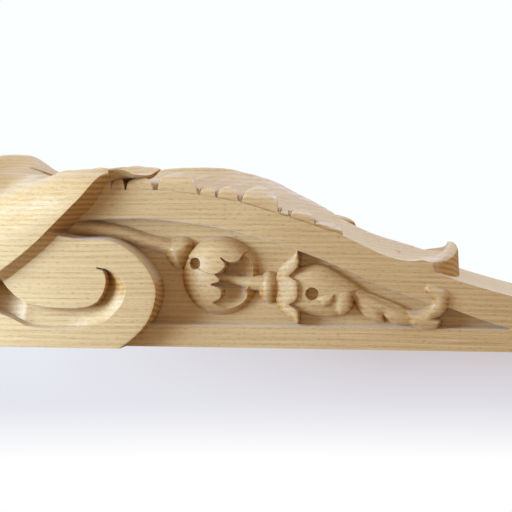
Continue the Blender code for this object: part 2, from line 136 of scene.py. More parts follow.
LEAF_TAIL = [
    (296, 50, "sharp"), (305.2, 46.6), (314.8, 39.9), (324.4, 36.0), (339.4, 30.0), (345, 27.4),
    (355, 27.0, "sharp"), (364, 16, "sharp"), (357, 14.6), (350.9, 16.1), (338.8, 16.2), (331.4, 18.9),
    (328.0, 22.8, "sharp"), (328.9, 18.2, "sharp"), (321.6, 18.3), (315.4, 21.5), (310.3, 27.1),
    (307.3, 33.4, "sharp"),
]
LOBE_NEAR = [
    (283.4, 33.6, "sharp"), (288, 36.6), (294.9, 37.6, "sharp"), (294.6, 33.0), (291.2, 29.6), (287, 29.2),
]
LOBE_FAR = [
    (295.4, 37.4, "sharp"), (300, 39.6), (305.0, 38.9), (307.2, 33.0), (306.2, 27.4), (302.4, 23.8),
    (298.0, 23.4), (295.0, 27.6), (294.8, 31.4),
]
LEAF_EYE = (279.8, 37.3, 4.1)
CURL = [
    (344, 25.6, "sharp"), (352.5, 26.4), (358.4, 29.2), (361.3, 33.4), (360.6, 36.2), (357.4, 38.4),
    (356.2, 41.4), (358.4, 44.2), (364.3, 43.3), (369.9, 41.2), (372.3, 36.2), (371.8, 29.4),
    (368.0, 24.4), (363.2, 21.8, "sharp"), (366.4, 20.2), (366.2, 17.0), (362.4, 14.7), (356, 14.6),
    (347, 16.6, "sharp"),
]

# The draped leaf, station by station: drop, then how far out its middle, valley, ridge and rim lie
LEAF_STATIONS = np.array([
    (12, 119, 114, 109, 32), (32, 128, 115.5, 106.5, 33), (50, 131.6, 117.4, 105.2, 40),
    (64, 131.6, 118, 105.4, 49.8), (70, 130.4, 118.2, 107.4, 53.6), (76, 127.4, 118.2, 109.3, 58),
    (86, 120.0, 117.6, 112.6, 65.8), (96, 114, 115.4, 116, 74.5), (106, 111.5, 113.4, 119.2, 84.3),
    (117, 110.0, 112, 121.2, 95.2), (125, 109.7, 111.4, 121.9, 103.6), (129.5, 109.6, 111.2, 122, 109.4),
    (133, 109.5, 111.1, 122, 114.2), (137, 109.4, 111, 122.0, 118.6), (141, 109.3, 111, 122.0, 121.0),
    (150, 109.2, 111, 122.2, 122.0),
])
VALLEY_OFF = 34.0
RIDGE_OFF = 60.0
SHOULDER = 9.0
STEEPEST = 0.995
RIM_SLANT = 6.5
LEAF_STOPS = 140.6
LEAF_PLAN = [
    (-9, -9, "sharp"), (100, -9, "sharp"), (99, 0), (93, 11), (84, 17), (74, 20, "sharp"), (90, 23),
    (108, 25), (124, 24), (130, 19, "sharp"), (138, 26, "sharp"), (LEAF_STOPS, 45), (LEAF_STOPS, 60),
    (LEAF_STOPS, 92, "sharp"), (-9, 92, "sharp"),
]
TIP_DROPS = (132, 173.5, 0.6)
TIP_TOP = [
    (132, 121.6), (137, 121.8), (141.6, 121.8), (146.7, 121.8), (151.6, 120.9), (156.4, 118.3),
    (161.3, 117.7), (166, 117.6), (169.4, 119.0), (173.6, 122.2),
]
TIP_THICK = [
    (132, 9.0), (141.2, 8.6), (149.5, 6.2), (155, 3.0), (160, 2.0), (166, 2.2), (170, 1.9), (173.6, 0.7),
]
TIP_NEAR = [
    (132, 61.4), (137, 62.8), (141, 62.4), (146.7, 60.8), (151.6, 58.8), (158, 55.6), (166, 51),
    (173.6, 46.8),
]
TIP_INNER = [(132, 26), (146, 31), (158, 36), (167, 41.5), (173.6, 45.8)]
TIP_INNER_TOP = [(132, 112.0), (147, 113.5), (158, 115.6), (167, 116.8), (173.6, 121.8)]

# The front leaf: how far out its rib lies, and its near edge above the rail
RIB = [
    (110, 109), (132, 112), (150, 116.4), (172, 119.2), (196, 120.0), (213.5, 119.2), (224, 116.9),
    (235, 114.2), (249, 109.5), (262, 102.5), (274, 96.6), (286.6, 89.6), (298.4, 83.6), (314.6, 76),
    (330.6, 70.7), (352.9, 65.0), (364, 64.2), (378, 64.0),
]
NEAR_LIFT = [
    (100, 0.6), (296, 0.4), (304, 0.2), (316, 0.3), (331.6, 0.8), (342, 1.8), (352, 4.2), (361.4, 6.9),
    (380, 6.9),
]
# Each leaflet: where it starts and stops, its crest, and how far in it runs
LEAFLETS = [
    (140.8, 150.2, 8.4, 18), (151.6, 169.6, 9.0, 28), (173.4, 200.4, 13.0, 44),
    (202.8, 212.8, 6.4, 16), (214.8, 228.4, 8.8, 24), (231.4, 255.6, 13.6, 42),
    (257.8, 263.2, 3.8, 14), (265.0, 280.8, 7.4, 20), (281.6, 300.4, 5.6, 24),
]
LEAF_END = [
    (250, -30, "sharp"), (250, 95, "sharp"), (340, 95, "sharp"), (352, 66), (361.2, 58.2), (366.4, 54.6),
    (371.4, 48), (375, 37), (377.0, 20), (377.5, 0), (377.0, -20), (374, -30, "sharp"),
]
ROLL_FROM = 300
ROLL_WIDTH = 6.0
LEAF_DIMPLE = (336.4, 27.0, 1.6)

# A leaflet's shape, as shares of its height and reach, and how far it is set into the rail in mm
WALL_SHARE = 0.5
CREST_AT = 0.42
SET_BACK = 1.3

# Spots nearer than a speck are one spot, and the joins leave no hole wider than a pinhole, in metres
SPECK = 0.000002
PINHOLE = 0.0002

FLOOR_LEVEL = -0.62
FLOOR_REACH = 3.0


class CorbelSizes(bpy.types.PropertyGroup):
    """Sizes of the carving that a user may change."""

    body_width: bpy.props.FloatProperty(
        name="Body Width", description="Across the two rails", default=0.116, unit="LENGTH"
    )
    volute_proud: bpy.props.FloatProperty(
        name="Volute Proud", description="How far a volute stands off the rail", default=0.016, unit="LENGTH"
    )
    leaf_proud: bpy.props.FloatProperty(
        name="Leaf Proud", description="How far the leaf stands off the rail", default=0.025, unit="LENGTH"
    )
    panel_recess: bpy.props.FloatProperty(
        name="Panel Recess", description="How deep the side panel is sunk", default=0.010, unit="LENGTH"
    )
    channel_depth: bpy.props.FloatProperty(
        name="Channel Depth", description="Depth of the tongue's channel", default=0.010, unit="LENGTH"
    )
    cap_height: bpy.props.FloatProperty(
        name="Cap Height", description="Thickness of the square cap", default=0.014, unit="LENGTH"
    )
    cove_height: bpy.props.FloatProperty(
        name="Cove Height", description="Height of the cove under the cap", default=0.010, unit="LENGTH"
    )
    step: bpy.props.FloatProperty(
        name="Field Step", description="Spacing of the height fields", default=0.0005, unit="LENGTH"
    )
    triangles: bpy.props.IntProperty(
        name="Triangles", description="Triangles kept on one half", default=97000
    )


class CorbelFinish(bpy.types.PropertyGroup):
    """Colours of the oak, as sRGB hex, and the sizes of its figure."""

    pale: bpy.props.StringProperty(name="Pale Wood", description="Early wood", default="D5B584")
    middle: bpy.props.StringProperty(name="Middle Wood", description="Between the two", default="CAA773")
    tan: bpy.props.StringProperty(name="Tan Wood", description="Late wood", default="B78F5C")
    pore: bpy.props.StringProperty(name="Pores", description="Open pore lines", default="94703F")
    endgrain_and_shade: bpy.props.StringProperty(name="End Grain", description="Cut across", default="B08148")
    ring_width: bpy.props.FloatProperty(
        name="Ring Width", description="Width of one year ring", default=0.0036, unit="LENGTH"
    )
    streak_length: bpy.props.FloatProperty(
        name="Streak Length", description="Length of one streak", default=0.055, unit="LENGTH"
    )
    streak_width: bpy.props.FloatProperty(
        name="Streak Width", description="Width of one streak", default=0.0009, unit="LENGTH"
    )
    pore_length: bpy.props.FloatProperty(
        name="Pore Length", description="Length of one pore line", default=0.0034, unit="LENGTH"
    )
    pore_width: bpy.props.FloatProperty(
        name="Pore Width", description="Width of one pore line", default=0.0005, unit="LENGTH"
    )
    roughness: bpy.props.FloatProperty(name="Roughness", description="0 polished to 1 matt", default=0.44)
    sheen: bpy.props.FloatProperty(name="Sheen", description="Pale nap that sanding leaves", default=0.32)


class StageLook(bpy.types.PropertyGroup):
    """The plain floor, the light and the camera."""

    floor: bpy.props.StringProperty(name="Floor", description="Floor colour", default="E9E9F2")
    air: bpy.props.StringProperty(name="Backdrop", description="Backdrop colour", default="FBFFFF")
    # Painted shadow: the corbel's soft shadow on a pale table, drawn into the backdrop's colours below it
    table_shadow_left: bpy.props.StringProperty(
        name="Table, Left", description="Backdrop under the top", default="E9EBF3"
    )
    table_shadow_right: bpy.props.StringProperty(
        name="Table, Right", description="Backdrop under the tail", default="CDC5C7"
    )
    shadow_fade_left: bpy.props.StringProperty(
        name="Table Edge, Left", description="Where the table fades, left", default="E6E7EE"
    )
    shadow_fade_right: bpy.props.StringProperty(
        name="Table Edge, Right", description="Where the table fades, right", default="E2E1E8"
    )
    room: bpy.props.StringProperty(name="Room", description="Light from the room", default="FFE9C8")
    air_level: bpy.props.FloatProperty(name="Room Level", description="Brightness of the room", default=0.43)
    air_lean: bpy.props.FloatVectorProperty(
        name="Room Lean", description="Change of brightness along each axis", default=(-0.05, -0.18, 0.25)
    )
    window_spot: bpy.props.FloatVectorProperty(
        name="Window Place", description="Where the light hangs", default=(-0.32, -0.12, 0.48), unit="LENGTH"
    )
    window_size: bpy.props.FloatProperty(
        name="Window Size", description="Side of the window light", default=0.28, unit="LENGTH"
    )
    window_power: bpy.props.FloatProperty(name="Window Power", description="Power in watts", default=6.8)
    window_colour: bpy.props.StringProperty(name="Window Colour", description="Daylight", default="B7D9FF")
    sky_spot: bpy.props.FloatVectorProperty(
        name="Sky Place", description="Where the sky light hangs", default=(0.20, -1.00, -0.55), unit="LENGTH"
    )
    sky_size: bpy.props.FloatProperty(
        name="Sky Size", description="Side of the sky light", default=0.9, unit="LENGTH"
    )
    sky_power: bpy.props.FloatProperty(name="Sky Power", description="Power in watts", default=26.0)
    sky_colour: bpy.props.StringProperty(name="Sky Colour", description="Cool daylight", default="B2D0FF")
    lens: bpy.props.FloatProperty(name="Lens", description="Focal length in mm", default=119.3)


# Lines and distances on a drawing


def smooth_line(knots, closed, steps=7):
    """Points along a smooth line through the knots, turning sharply where a knot says so."""
    spots = np.array([knot[:2] for knot in knots], float)
    sharp = [len(knot) > 2 and knot[2] == "sharp" for knot in knots]
    count = len(knots)
    points = []
    for i in range(count if closed else count - 1):
        j = (i + 1) % count
        here, there = spots[i], spots[j]
        length = np.linalg.norm(there - here)
        leave = there - here
        if not sharp[i] and (closed or i > 0):
            through = there - spots[i - 1]
            leave = through / np.linalg.norm(through) * length
        arrive = there - here
        if not sharp[j] and (closed or j < count - 1):
            through = spots[(j + 1) % count] - here
            arrive = through / np.linalg.norm(through) * length
        for t in np.arange(steps) / steps:
            h00 = 2 * t**3 - 3 * t**2 + 1
            h10 = t**3 - 2 * t**2 + t
            h01 = 3 * t**2 - 2 * t**3
            h11 = t**3 - t**2
            points.append(h00 * here + h10 * leave + h01 * there + h11 * arrive)
    if not closed:
        points.append(spots[-1])
    return np.array(points)


def line_distance(line, a, b, closed):
    """How far each spot of the grid lies from a line, and whether it lies inside it."""
    nearest = np.full(a.shape, 1e9)
    inside = np.zeros(a.shape, bool)
    after = np.roll(line, -1, axis=0) if closed else line[1:]
    for (a0, b0), (a1, b1) in zip(line, after):
        da, db = a1 - a0, b1 - b0
        along = np.clip(((a - a0) * da + (b - b0) * db) / (da * da + db * db + 1e-12), 0, 1)
        nearest = np.minimum(nearest, (a - a0 - along * da) ** 2 + (b - b0 - along * db) ** 2)
        if closed and b0 != b1:
            crosses = ((b0 > b) != (b1 > b)) & (a < (a1 - a0) * (b - b0) / (b1 - b0) + a0)
            inside ^= crosses
    return np.sqrt(nearest), inside


def ease(value):
    """Runs smoothly from 0 to 1 as the value does."""
    t = np.clip(value, 0, 1)
    return t * t * (3 - 2 * t)


def follow(stations, value):
    """Reads a smooth curve through (place, height) stations."""
    line = smooth_line(stations, False)
    order = np.argsort(line[:, 0])
    return np.interp(value, line[order, 0], line[order, 1])


class Field:
    """Heights over one drawing, which shapes are raised on or sunk into."""

    def __init__(self, first, second, height):
        self.first = first
        self.second = second
        self.a, self.b = np.meshgrid(first, second, indexing="ij")
        self.height = np.broadcast_to(height, self.a.shape).astype(float)

    def window(self, line, margin):
        low = line.min(axis=0) - margin
        high = line.max(axis=0) + margin
        rows = slice(*np.searchsorted(self.first, (low[0], high[0])))
        columns = slice(*np.searchsorted(self.second, (low[1], high[1])))
        return rows, columns

    def inward(self, outline, margin=3.0):
        """The window round an outline, and how far inside it each of its spots lies."""
        line = smooth_line(outline, True)
        spot = self.window(line, margin)
        far, inside = line_distance(line, self.a[spot], self.b[spot], True)
        return spot, np.where(inside, far, -far)

    def raise_pad(self, outline, edge, crown, roundness, wall=0.9, lean=None):
        """Raises a pad with steep sides, a height at its edge and a crown that swells inward."""
        spot, depth = self.inward(outline)
        top = edge + crown * (1 - np.exp(-np.maximum(depth, 0) / roundness))
        if lean is not None:
            top = top + lean(self.a[spot], self.b[spot])
        here = self.height[spot]
        grown = here + (np.maximum(top, here) - here) * ease(depth / wall + 0.5)
        self.height[spot] = np.maximum(here, grown)

    def sink(self, outline, floor, wall=1.2):
        """Cuts down to a floor inside an outline."""
        spot, depth = self.inward(outline)
        here = self.height[spot]
        cut = here + (np.minimum(floor, here) - here) * ease(depth / wall + 0.5)
        self.height[spot] = cut

    def raise_egg(self, egg, base, rise):
        (a0, b0), (ra, rb), turn = egg
        reach = max(ra, rb) + 1
        spot = self.window(np.array([(a0 - reach, b0 - reach), (a0 + reach, b0 + reach)]), 0)
        c, s = math.cos(math.radians(turn)), math.sin(math.radians(turn))
        da, db = self.a[spot] - a0, self.b[spot] - b0
        away = ((da * c + db * s) / ra) ** 2 + ((db * c - da * s) / rb) ** 2
        top = base + rise * np.sqrt(np.maximum(1 - away, 0))
        self.height[spot] = np.where(away < 1, np.maximum(self.height[spot], top), self.height[spot])

    def raise_stem(self, stations, base, squash=1.0):
        """Raises a round stem through (a, b, radius) stations."""
        line = smooth_line([station[:2] for station in stations], False)
        radii = np.interp(
            np.linspace(0, len(stations) - 1, len(line)), range(len(stations)), [s[2] for s in stations]
        )
        spot = self.window(line, radii.max() + 1)
        a, b = self.a[spot], self.b[spot]
        top = np.full(a.shape, NOWHERE)
        for (a0, b0), (a1, b1), r0, r1 in zip(line, line[1:], radii, radii[1:]):
            da, db = a1 - a0, b1 - b0
            along = np.clip(((a - a0) * da + (b - b0) * db) / (da * da + db * db), 0, 1)
            away = (a - a0 - along * da) ** 2 + (b - b0 - along * db) ** 2
            radius = r0 + (r1 - r0) * along
            swell = np.where(away < radius**2, squash * np.sqrt(np.maximum(radius**2 - away, 0)), NOWHERE)
            top = np.maximum(top, base + swell)
        self.height[spot] = np.maximum(self.height[spot], top)

    def drill_out(self, hole, surface, depth):
        """Pricks a small round dimple into a surface, which becomes the height."""
        a0, b0, radius = hole
        away = np.hypot(self.a - a0, self.b - b0)
        self.height = surface - depth * ease((radius - away) / 0.9 + 0.5)

    def drill(self, hole, floor):
        a0, b0, radius = hole
        spot = self.window(np.array([(a0 - radius, b0 - radius), (a0 + radius, b0 + radius)]), 1)
        away = np.hypot(self.a[spot] - a0, self.b[spot] - b0)
        here = self.height[spot]
        self.height[spot] = here + (np.minimum(floor, here) - here) * ease((radius - away) / 0.9 + 0.5)


# The side drawing


def side_field(sizes):
    """How far each spot of a side stands off the middle plane."""
    step = sizes.step / MM
    drops = np.arange(-SPARE, DRAWING_HEIGHT + SPARE + step, step)
    outs = np.arange(-SPARE, DRAWING_DEPTH + SPARE, step)
    face = sizes.body_width / 2 / MM
    side = Field(drops, outs, face)
    ground = face - sizes.panel_recess / MM
    side.sink(RAIL_UNDER_EDGE, ground, 1.3)
    raise_flower(side, ground, face)
    volute = face + sizes.volute_proud / MM
    side.raise_pad(VOLUTE_EDGE, volute - 0.4, 0.4, 1.0, 1.0)
    cut_channel(side, volute, sizes.channel_depth / MM)
    drape_side(side, face + sizes.leaf_proud / MM)
    raise_cap_side(side, sizes)
    return side


def raise_flower(side, ground, face):
    """The stalk, bud, open pod, stem, knob, collar and long leaf of the side panel."""
    side.raise_stem(STALK, ground - 0.5, 1.4)
    side.raise_pad(BUD, ground + 2.5, 7.0, 4.0, 1.0)
    side.raise_egg(POD, ground - POD_SUNK, POD_SWELL)
    side.raise_pad(POD_LEAF, ground, 0, 1.0, 0.8, lambda a, b: pod_skin(a, b, 1.5))
    pod_bowl(side, ground)
    side.raise_stem(SECOND_STEM, ground + 3.2, 1.0)
    side.raise_egg(KNOB, ground - 1, 11.0)
    side.raise_pad(LEAF_TAIL, ground + 2.4, 3.4, 3.5, 0.9, tail_flutes)
    side.raise_pad(LEAF_HEAD, ground + 3.4, 6.2, 6.5, 1.0)
    side.raise_pad(LOBE_FAR, ground + 7.0, 2.6, 2.4, 0.9)
    side.raise_pad(LOBE_NEAR, ground + 9.0, 2.4, 2.2, 0.9)
    side.drill(LEAF_EYE, ground + 3.0)
    side.raise_pad(COLLAR, ground + 4.0, 2.0, 2.0, 1.0, lambda a, b: (a - 253) * 0.36)
    side.raise_pad(CURL, face + 0.6, 3.6, 2.2, 1.1)
    side.drill(POD_EYE, ground + 2.0)


def pod_skin(a, b, lift):
    """The pod's round skin, lifted where its upper leaf overlaps."""
    (a0, b0), (ra, rb), _turn = POD
    away = ((a - a0) / ra) ** 2 + ((b - b0) / rb) ** 2
    skin = -POD_SUNK + POD_SWELL * np.sqrt(np.maximum(1 - away, 0)) + lift
    return np.where(away < 1, skin, NOWHERE)


def pod_bowl(side, ground):
    """Hollows the pod inside its scalloped mouth."""
    spot, depth = side.inward(POD_MOUTH)
    here = side.height[spot]
    (a0, b0), _radii, _turn = POD
    hollow = ground - 1.5 + 0.02 * ((side.a[spot] - a0 - 8) ** 2 + (side.b[spot] - b0 + 2) ** 2)
    side.height[spot] = here + (np.minimum(hollow, here) - here) * ease(depth / 1.0 + 0.5)


def tail_flutes(a, b):
    """Long shallow flutes that run down the tail of the leaf."""
    middle = 36.5 - 0.42 * (a - 312)
    across = b - middle
    return 0.4 * np.cos(across * 1.05) * ease((a - 308) / 12) * ease((344 - a) / 16)


def cut_channel(side, volute, depth):
    """The channel round the volute's tongue: steep at the tongue, easing up to its outer line."""
    line = smooth_line(TONGUE_EDGE, False)
    outer = smooth_line(CHANNEL_EDGE, False)
    spot = side.window(outer, 3.0)
    a, b = side.a[spot], side.b[spot]
    from_tongue, _ = line_distance(line, a, b, False)
    from_outer, _ = line_distance(outer, a, b, False)
    ring = np.concatenate([line, outer])
    edge, inside = line_distance(ring, a, b, True)
    share = from_tongue / (from_tongue + from_outer + 1e-6)
    runs_out = ease((a - 112) / 34)
    floor = 1 - share * (0.45 + 0.55 * runs_out)
    deep_end = 1 + 0.9 * ease((84 - a) / 16)
    wall = ease(np.where(inside, edge, -edge) / 1.0 + 0.5)
    here = side.height[spot]
    side.height[spot] = np.where(wall > 0, here - depth * floor * deep_end * wall, here)


def drape_side(side, leaf_face):
    """The flank of the draped leaf, with its flute, and its slanted cut rim."""
    drops = side.first
    ridge = follow(LEAF_STATIONS[:, (0, 3)].tolist(), drops)[:, None]
    rim = follow(LEAF_STATIONS[:, (0, 4)].tolist(), drops)[:, None]
    slope = np.gradient(rim[:, 0], drops)[:, None]
    lean = 1 / np.sqrt(1 + slope**2)
    fall = np.maximum(ridge - side.b, 0)
    spread = leaf_face - RIDGE_OFF
    flank = RIDGE_OFF + spread * (1 - np.exp(-fall / SHOULDER))
    flute = ridge - 15 - 0.10 * (side.a - 40)
    flank -= 2.6 * np.exp(-(((side.b - flute) / 6.5) ** 2)) * ease((122 - side.a) / 40)
    swell = (rim + ridge) / 2 - 10
    flank += 0.8 * np.exp(-(((side.b - swell) / 14) ** 2)) - 0.8
    below = (rim - side.b) * lean
    blend = np.clip(1 - below / RIM_SLANT, 0, 1)
    covered = (side.a < LEAF_STOPS) & (ridge > rim + 0.3)
    on_leaf = np.where(below <= 0, flank, side.height + (flank - side.height) * blend)
    side.height = np.where(covered, np.maximum(side.height, on_leaf), side.height)


def cap_inset(drops, sizes):
    """How far the cap and the hollow cove under it step in, down the drop."""
    cap = sizes.cap_height / MM
    cove = sizes.cove_height / MM
    t = np.clip((drops - cap) / cove, 0, 1)
    hollow = 3.0 + 9.0 * (1 - np.sqrt(np.maximum(1 - t**2, 0)))
    return np.where(drops < cap, 0.0, np.where(drops < cap + cove, hollow, -NOWHERE))


def raise_cap_side(side, sizes):
    half = WIDTH / 2 / MM
    inset = cap_inset(side.first, sizes)[:, None]
    side.height = np.maximum(side.height, np.where(inset < half, half - inset, NOWHERE))


# The front drawing


def front_field(sizes):
    """How far each spot of the front stands out from the wall."""
    step = sizes.step / MM
    drops = np.arange(-SPARE, DRAWING_HEIGHT + SPARE + step, step)
    offs = np.arange(-SPARE, WIDTH / 2 / MM + SPARE, step)
    edge = follow(FRONT_EDGE, drops)[:, None]
    edge = np.where(drops[:, None] > DRAWING_HEIGHT, edge[np.searchsorted(drops, DRAWING_HEIGHT) - 1], edge)
    front = Field(drops, offs, edge)
    face = sizes.body_width / 2 / MM
    hollow_tail(front, face)
    lay_front_leaf(front, face, edge)
    drape_front(front, sizes)
    return front


def hollow_tail(front, face):
    """The tail's front face is scooped a little across its width."""
    scoop = 1.8 * (1 - (front.b / face) ** 2) * ease((front.a - 372) / 16) * ease((446 - front.a) / 20)
    front.height -= np.maximum(scoop, 0)


def lay_front_leaf(front, face, edge):
    """The blade of the front leaf, hollow from its rib out to its edges."""
    rib = follow(RIB, front.first)[:, None]
    near = edge + follow(NEAR_LIFT, front.first)[:, None]
    across = np.abs(front.b)
    share = np.clip(across / face, 0, 1)
    power = 1.9 - 0.5 * ease((front.a - 280) / 50)
    blade = near + (rib - near) * (1 - share) ** power
    blade += vein_lines(front.a, across)
    rise = ease((face - 3.0 - across) / 5.0) * (1 - 0.6 * ease((face - 12 - across) / 30))
    slit = leaflet_slits(front.a) * ease((across - face + 13) / 5)
    ledge = 0.9 * ease((across - face + 2.0) / 0.9)
    blade += (3.4 * rise * (1 - slit) - 0.8 * slit - ledge) * ease((296 - front.a) / 10)
    on, blade = curl_end(front, blade, share)
    before = front.height
    front.drill_out(LEAF_DIMPLE, blade, 1.4)
    front.height = before + (np.maximum(front.height, before) - before) * on


def leaflet_slits(drop):
    """1 in the gaps between the leaflets, and 0 along each leaflet and beyond the row."""
    covered = np.zeros(drop.shape)
    for start, stop, _crest, _reach in LEAFLETS:
        covered = np.maximum(covered, ease(drop - start + 0.5) * ease(stop - drop + 0.5))
    row = ease(drop - LEAFLETS[0][0]) * ease(LEAFLETS[-1][1] - drop)
    return (1 - covered) * row


def vein_lines(drop, across):
    """Shallow gouge lines that sweep back from the rib, and the rib's own round back."""
    sweep = np.cos((drop + across * 0.55) * 0.52)
    fade = ease((across - 6) / 8) * ease((50 - across) / 10)
    fade *= ease((drop - 150) / 20) * ease((300 - drop) / 16)
    rib = 0.9 * np.exp(-((across / 2.6) ** 2)) * ease((drop - 150) / 20) * ease((352 - drop) / 10)
    return 0.35 * sweep * fade + rib


def curl_end(front, blade, share):
    """Turns the end of the front leaf up into a rolled rim, and says where the leaf lies."""
    depth = np.where(front.a < ROLL_FROM, -NOWHERE, NOWHERE)
    spot, inward = front.inward(LEAF_END, 6.0)
    depth[spot] = np.where(front.a[spot] < ROLL_FROM, -NOWHERE, inward)
    crest = 70.6 - 9.4 * share**1.7
    outer = 10.0 - 6.6 * share**2
    swell = 1 - np.sqrt(np.maximum(1 - (np.clip(ROLL_WIDTH - depth, 0, ROLL_WIDTH) / ROLL_WIDTH) ** 2, 0))
    rim = crest - outer * swell
    run_in = 1.6 + 9.0 * share**2
    inner = crest + (blade - crest) * ease((depth - 8.0 + 2.0 * share) / run_in)
    rolled = np.where(depth < ROLL_WIDTH, rim, np.maximum(inner, blade))
    mix = ease((front.a - 346) / 8)
    on = ease(depth / 1.1 + 0.5) * ease((front.a - 76) / 10)
    return on, blade + (rolled - blade) * mix


def drape_front(front, sizes):
    """The draped leaf over the top of the front: a middle lobe, valleys and two ridges."""
    middle, valley, ridge = (
        follow(LEAF_STATIONS[:, (0, column)].tolist(), front.first)[:, None] for column in (1, 2, 3)
    )
    off = np.abs(front.b)
    spread = sizes.body_width / 2 / MM + sizes.leaf_proud / MM - RIDGE_OFF
    to_valley = ease(off / VALLEY_OFF)
    to_ridge = ease((off - VALLEY_OFF) / (RIDGE_OFF - VALLEY_OFF))
    leaf = middle + (valley - middle) * to_valley + (ridge - valley) * to_ridge
    past = np.clip((off - RIDGE_OFF) / spread, 0, STEEPEST)
    leaf = leaf + np.where(off > RIDGE_OFF, SHOULDER * np.log(1 - past), 0)
    leaf += leaf_veins(front.a, off)
    spot, depth = front.inward(LEAF_PLAN)
    here = front.height[spot]
    leaf = leaf[spot] - 1.2 * np.exp(-np.maximum(depth, 0) / 1.5) * ease((40 - front.b[spot]) / 12)
    raised = here + (np.maximum(leaf, here) - here) * ease(depth / 1.2 + 0.5)
    front.height[spot] = raised
    off_face = front.b > sizes.body_width / 2 / MM + 0.5
    beyond = off_face & (front.a > 24) & (front.a < 150)
    shoulder = leaf_shoulder(front, ridge, spread)
    front.height = np.where(beyond, np.maximum(front.height, shoulder), front.height)
    inset = cap_inset(front.first, sizes)[:, None]
    front.height = np.maximum(front.height, np.where(inset < DRAWING_DEPTH, DRAWING_DEPTH - inset, NOWHERE))


def leaf_shoulder(front, ridge, spread):
    """Where the front field lets the flank of the leaf through, past the rails."""
    past = np.clip((front.b - RIDGE_OFF) / spread, 0, STEEPEST)
    return np.where(front.b > RIDGE_OFF, ridge + SHOULDER * np.log(1 - past), ridge)


def leaf_veins(drop, off):
    """A cut vein down the middle lobe and flutes that fan out to the side lobes."""
    fan = np.arctan2(off, 128 - drop)
    reach = np.hypot(off, 128 - drop)
    flutes = 0.9 * np.cos(fan * 15) * ease((reach - 24) / 24) * ease((off - 4) / 6)
    vein = -1.3 * np.exp(-((off / 1.7) ** 2)) * ease((drop - 26) / 12) * ease((92 - drop) / 14)
    return (flutes + vein) * ease((drop - 22) / 12)


# Solids


def on_block(off, out, drop):
    """A spot of the drawing in the corbel's own frame, on the left-hand half."""
    return np.stack([-off * MM, -out * OUT_SCALE * MM, TOP - drop * DROP_SCALE * MM], axis=-1)


def field_solid(name, top, floor):
    """A closed solid between two like grids of points."""
    rows, columns = top.shape[:2]
    points = np.concatenate([top.reshape(-1, 3), floor.reshape(-1, 3)])
    index = np.arange(rows * columns).reshape(rows, columns)
    quads = np.stack([index[:-1, :-1], index[1:, :-1], index[1:, 1:], index[:-1, 1:]], axis=-1).reshape(-1, 4)
    under = quads[:, ::-1] + rows * columns
    rim = np.concatenate([index[:, 0], index[-1, 1:], index[::-1, -1][1:], index[0, ::-1][1:-1]])
    after = np.roll(rim, -1)
    walls = np.stack([rim, rim + rows * columns, after + rows * columns, after], axis=-1)
    faces = np.concatenate([quads, under, walls])
    mesh = bpy.data.meshes.new(name)
    mesh.vertices.add(len(points))
    mesh.vertices.foreach_set("co", points.ravel())
    mesh.loops.add(faces.size)
    mesh.loops.foreach_set("vertex_index", faces.ravel())
    mesh.polygons.add(len(faces))
    mesh.polygons.foreach_set("loop_start", np.arange(0, faces.size, 4))
    mesh.update(calc_edges=True)
    mesh.validate()
    shape = bmesh.new()
    shape.from_mesh(mesh)
    if shape.calc_volume(signed=True) < 0:
        bmesh.ops.reverse_faces(shape, faces=shape.faces)
        shape.to_mesh(mesh)
    shape.free()
    return link(name, mesh)


def link(name, mesh):
    thing = bpy.data.objects.new(name, mesh)
    bpy.context.scene.collection.objects.link(thing)
    return thing


def evaluated_mesh(thing):
    """The object's mesh with its modifiers worked in."""
    bpy.context.view_layer.update()
    graph = bpy.context.evaluated_depsgraph_get()
    return bpy.data.meshes.new_from_object(thing.evaluated_get(graph), depsgraph=graph)


def work_in(thing):
    """Swaps an object's mesh for its evaluated one and drops the modifiers."""
    mesh = evaluated_mesh(thing)
    thing.modifiers.clear()
    thing.data = mesh


def discard(thing):
    bpy.data.objects.remove(thing, do_unlink=True)


def rough_half(sizes):
    """One half of the block: what lies inside both the side field and the front field."""
    side = side_field(sizes)
    drop, out = side.a, side.b
    behind = -SPARE + 0 * out
    flank = field_solid("side_block", on_block(side.height, out, drop), on_block(behind, out, drop))
    front = front_field(sizes)
    drop, off = front.a, front.b
    behind = -SPARE + 0 * off
    nose = field_solid("front_block", on_block(off, front.height, drop), on_block(off, behind, drop))
    both = flank.modifiers.new("Inside both", "BOOLEAN")
    both.operation = "INTERSECT"
    both.solver = "MANIFOLD"
    both.object = nose
    work_in(flank)
    discard(nose)
    if not flank.data.polygons:
        raise RuntimeError("the side and front of the block don't meet")
    return flank


def leaf_tip_solid():
    """The flared tip of the draped leaf, which hangs free over the first leaflets."""
    drops = np.arange(*TIP_DROPS)
    top, thick, near, inner, low = (
        follow(line, drops)[:, None] for line in (TIP_TOP, TIP_THICK, TIP_NEAR, TIP_INNER, TIP_INNER_TOP)
    )
    across = np.linspace(0, 1, 48)[None, :]
    off = inner + (near - inner) * across
    upper = low + (top - low) * ease(across * 1.05)
    drop = drops[:, None] + 0 * across
    undercut = 0.85 + 0.3 * ease((drops[:, None] - 141) / 8)
    under_off = inner + (near - undercut * thick - inner) * across
    under = upper - thick * (0.4 + 0.6 * ease(across * 2))
    under_drop = drop - 0.3 * thick * across
    return field_solid("leaf_tip", on_block(off, upper, drop), on_block(under_off, under, under_drop))


# Leaflets, set along the front edge by geometry nodes


def add_node(tree, kind, settings=None, links=None, name=None):
    """Adds a node, sets its properties and inputs, and links sockets into it."""
    node = tree.nodes.new(kind)
    if name:
        node.name = name
        node.label = name
    for key, value in (settings or {}).items():
        if isinstance(key, str) and hasattr(node, key):
            setattr(node, key, value)
        else:
            node.inputs[key].default_value = value
    for key, socket in (links or {}).items():
        tree.links.new(socket, node.inputs[key])
    return node


